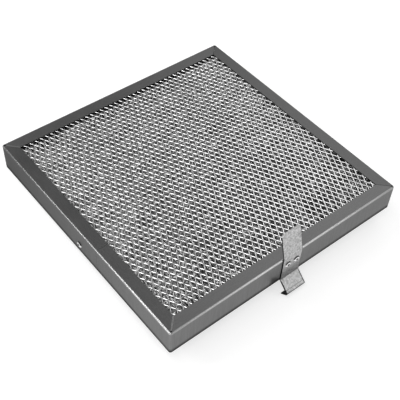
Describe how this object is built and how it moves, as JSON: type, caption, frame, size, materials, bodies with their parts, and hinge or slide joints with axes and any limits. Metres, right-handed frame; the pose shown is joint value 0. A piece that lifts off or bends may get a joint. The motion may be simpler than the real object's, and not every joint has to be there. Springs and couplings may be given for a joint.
{
  "type": "cooker hood grease filter",
  "caption": "Square grease filter panel for a cooker hood: expanded aluminium mesh held in a folded U-channel frame, with a riveted spring clip on one edge.",
  "frame": {"origin": "centre of the panel on the plane of its lower flanges", "axes": "+Z through the panel towards the side that the tongue of the clip rises from, -Y towards the rail with the clip, +X along that rail to the right as seen from the front"},
  "size_m": [0.241, 0.2502, 0.0649],
  "materials": {
    "frame_metal": "satin, dark grey anodised",
    "mesh_metal": "bright mill finish",
    "inner_metal": "mill finish",
    "clip_metal": "galvanised, fine spangle",
    "rivet_metal": "drawn"
  },
  "bodies": {
    "root": {"frame": "frame_metal", "front_mesh": "mesh_metal", "rear_mesh": "mesh_metal", "inner_mesh_1": "inner_metal", "inner_mesh_2": "inner_metal", "inner_mesh_3": "inner_metal", "inner_mesh_4": "inner_metal", "spring_clip": "clip_metal", "clip_rivets": "rivet_metal", "frame_rivet": "rivet_metal"}
  },
  "joints": []
}
